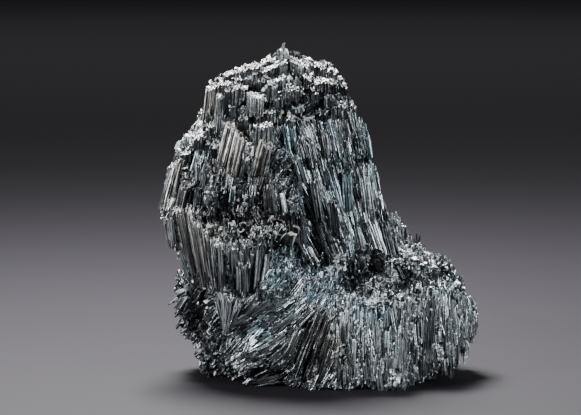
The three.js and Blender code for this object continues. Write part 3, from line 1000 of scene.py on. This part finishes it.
# Packets of fibres that stand out of the front: a cube-like one among those of the crown, the lone spike,
# a grey column on the left shoulder, the light ribs of the bulge, the dark plates over the foot, the teal
# and grey plates down the right tower, and a fan under the waist.
packets = Growth("standing_packets", 909, needle)
for x, z, up, length, wide, thick, proud, tone, warm, slant in (
    (-9.6, 41.4, (0.06, 0, 1), 3, 3.2, 1.2, 0.9, 0.3, 0.1, 0.2),
    (-10.9, 45.9, (0.04, 0, 1), 3.4, 2.8, 1.4, 1.2, 0.6, 0, -0.1),
    (-14.6, 47, (0.03, 0, 1), 3.6, 3.2, 1.2, 0.7, 0.08, 0, 0.3),
    (-8, 48, (0, 0, 1), 3, 1.8, 1.2, 0.8, 0.06, 0, -0.3),
    (-5, 47.6, (0, 0, 1), 2.2, 2.8, 1.2, 0.9, 0.06, 0, 0.1),
    (1.2, 49, (0, 0, 1), 1.8, 3.2, 1.2, 0.7, 0.08, 0, -0.1),
    (-2.6, 46.6, (-0.1, 0, 1), 2.6, 1.8, 1.2, 0.8, 0.1, 0, -0.3),
    (-6.1, 53.5, (0, 0, 1), 5.2, 0.6, 0.6, -0.2, 0.5, 0, 0),
    (-6.6, 52.8, (0.04, 0, 1), 4.8, 0.6, 0.6, -0.1, 0.5, 0, 0),
    (-5.6, 52.7, (-0.04, 0, 1), 4.6, 0.6, 0.6, -0.1, 0.45, 0, 0),
    (-6.2, 51.4, (0, 0, 1), 3.6, 1.4, 0.6, 0.3, 0.15, 0, 0.4),
    (-18.4, 46, (0.1, 0, 1), 5.6, 2.2, 1.4, 0.7, 0.5, 0.3, 0.4),
    (-16.9, 44.4, (0.1, 0, 1), 6.4, 1.5, 1.2, 0.7, 0.6, 0, 0.2),
    (-8.5, 31, (-0.1, 0, 1), 3.8, 1.8, 1, 0.9, 0.45, 0.2, 0),
    (-4.6, 26.8, (-0.12, 0, 1), 4.4, 1.2, 0.8, 0.7, 0.55, 0, 0),
    (-12.8, 18, (0, 0, 1), 4.2, 2.4, 1.4, 1.1, 0.42, 0, 0),
    (-23.1, 24.2, (-0.2, 0, 1), 9, 0.9, 0.8, 0.4, 0.7, 0.2, 0.3),
    (-22.2, 23, (-0.2, 0, 1), 11.4, 0.7, 0.8, 0.5, 0.5, 0.1, 0),
    (-21.2, 23.8, (-0.19, 0, 1), 9.6, 1, 0.8, 0.6, 0.8, 0.2, -0.4),
    (-20.2, 21.6, (-0.17, 0, 1), 10.4, 0.7, 0.8, 0.6, 0.5, 0.1, 0),
    (-19.4, 22.4, (-0.15, 0, 1), 8.4, 0.8, 0.8, 0.6, 0.7, 0.2, 0.3),
    (-18.5, 20.6, (-0.13, 0, 1), 8.6, 0.8, 0.8, 0.5, 0.55, 0.1, 0),
    (-17.5, 20.2, (-0.1, 0, 1), 7.4, 0.7, 0.8, 0.5, 0.65, 0.1, 0.2),
    (-16.4, 19.8, (-0.06, 0, 1), 7, 0.8, 0.8, 0.5, 0.5, 0, 0),
    (-10.4, 20, (0.1, 0, 1), 6.6, 0.8, 0.8, 0.4, 0.5, 0, 0),
    (-9.2, 19.6, (0.16, 0, 1), 5.6, 0.7, 0.8, 0.4, 0.6, 0, 0),
    (-25.4, 32.4, (0.26, 0, 1), 7, 1.2, 0.8, 0.3, 0.7, 0.1, 0),
    (-24.2, 33.4, (0.28, 0, 1), 7, 1, 0.8, 0.4, 0.6, 0.1, 0),
    (-25.4, 24.6, (-0.12, 0, 1), 4.6, 1.6, 0.8, 0.4, 0.7, 0, 0),
    (-12.6, 12.9, (0.7, 0, 0.7), 4.6, 1.8, 0.8, 0.6, 0.3, 0, 0),
    (-4.6, 7, (0.42, 0, 1), 5.4, 1.3, 0.8, 0.1, 0.5, 0.1, 0.5),
    (-3, 7.4, (0.4, 0, 1), 8, 1, 0.8, 0.4, 0.35, 0.2, 0.3),
    (-1.9, 8, (0.4, 0, 1), 10.6, 1.2, 0.8, 0.6, 0.5, 0.1, -0.3),
    (-0.6, 7, (0.36, 0, 1), 10, 1, 0.8, 0.2, 0.35, 0.3, 0.3),
    (0.6, 5.2, (0.3, 0, 1), 7, 1.3, 0.8, 0.3, 0.5, 0.35, -0.2),
):
    packets.place_one(
        x, z, up, length, wide, thick, proud, tone=tone, warm=warm, slant=slant, fibre=0.33, tilt=0.5,
        ragged=0.2 if z > 36 else 0.5, bright=0.5 if z > 36 else 0.4,
    )
for x, z, lean, length, wide, tone, teal in (
    (-5, 40.6, -0.16, 4.4, 2, 0.85, 0.45), (-3.1, 39, -0.26, 3.6, 1.6, 0.3, 0),
    (-3.4, 35.6, -0.32, 4.6, 1.1, 0.45, 0.1), (-1.4, 38.2, -0.2, 4.4, 1.4, 0.35, 0),
    (1.2, 39.6, -0.14, 4, 1.6, 0.4, 0), (-0.6, 30.6, -0.16, 6, 1.4, 0.3, 0),
    (2.2, 27.4, -0.1, 5.4, 1.4, 0.22, 0), (4.6, 31.4, -0.06, 6, 1.8, 0.6, 0.3),
    (-3.2, 25.6, -0.1, 5, 1.6, 0.3, 0.1),
):
    packets.place_one(
        x, z, (lean, 0, 1), length, wide, 0.9, 0.7, tone=tone, teal=teal, fibre=0.36, ragged=0.4,
        bright=0.4,
    )
FAN_ROOT = (-15.6, 9.4)
FAN_REACH = 2.8
FAN_STRANDS = 9
FAN_STEP = 0.095
FAN_START = 0.3
for strand in range(FAN_STRANDS):
    turn = strand * FAN_STEP - FAN_START
    way = (math.sin(turn), 0, math.cos(turn))
    packets.place_one(
        FAN_ROOT[0] + way[0] * FAN_REACH, FAN_ROOT[1] + way[2] * FAN_REACH, way, 5.2, 0.9, 0.6, 0.7,
        tone=0.6 + 0.1 * (strand * 2 % 5), fibre=0.33, ragged=0.4, bright=0.1,
    )
packets.grow()

# Crystals with smoother faces: three light or dark ones beside the pocket, and the two broad tan slabs
# under the crown, which are packets of smooth blocks. Pale lumps of worn fibres sit between the bulge and
# the foot.
standing = Growth("standing_crystals", 919, block)
for x, z, up, length, wide, thick, proud, tone, teal in (
    (-6.1, 30.4, (-0.2, 0, 1), 3.4, 0.7, 0.6, 0.8, 0.9, 0.4),
    (-14.6, 31.6, (0.1, 0, 1), 2.6, 1.2, 0.6, 0.8, 0.6, 0.9),
    (-7.8, 30.6, (-0.15, 0, 1), 3.6, 1.9, 0.7, 0.9, 0.3, 0.1),
):
    standing.place_one(
        x, z, up, length, wide, thick, proud, tone=tone, teal=teal, ragged=0.35, bright=0.5,
    )
for x, z, lean, length, wide, tone, slant in (
    (-14.1, 38, 0.22, 6.8, 5.2, 0.46, -0.55),
    (-9.9, 37.1, 0.26, 6.2, 2.1, 0.4, -0.4),
):
    standing.place_one(
        x, z, (lean, 0, 1), length, wide, 1.5, 1.5, tone=tone, warm=0.8, slant=slant, fibre=0.9,
        ragged=0.25, bright=0.7,
    )
standing.grow()
pale_lumps = Growth("pale_lumps", 929, needle)
for zone, x, z, reach in (
    (SLANT, -10.4, 8.3, 1.8), (BULGE, -7, 17, 2.4), (SLANT, -4.4, 14.9, 1.8), (SLANT, -0.8, 15.4, 1.6),
):
    pale_lumps.cover(
        zone, 0.7, 1.4, (1, 2.6), (0.2, 0.32), 0.9, proud=(0.2, 0.7), wander=0.25, tone=0.85, ragged=0.3,
        bright=0.5, teal=0.25, count=4, rows=2,
        region=lambda px, py, pz, x=x, z=z, reach=reach: (np.hypot(px - x, pz - z) < reach) & (py < 0),
    )
pale_lumps.grow()
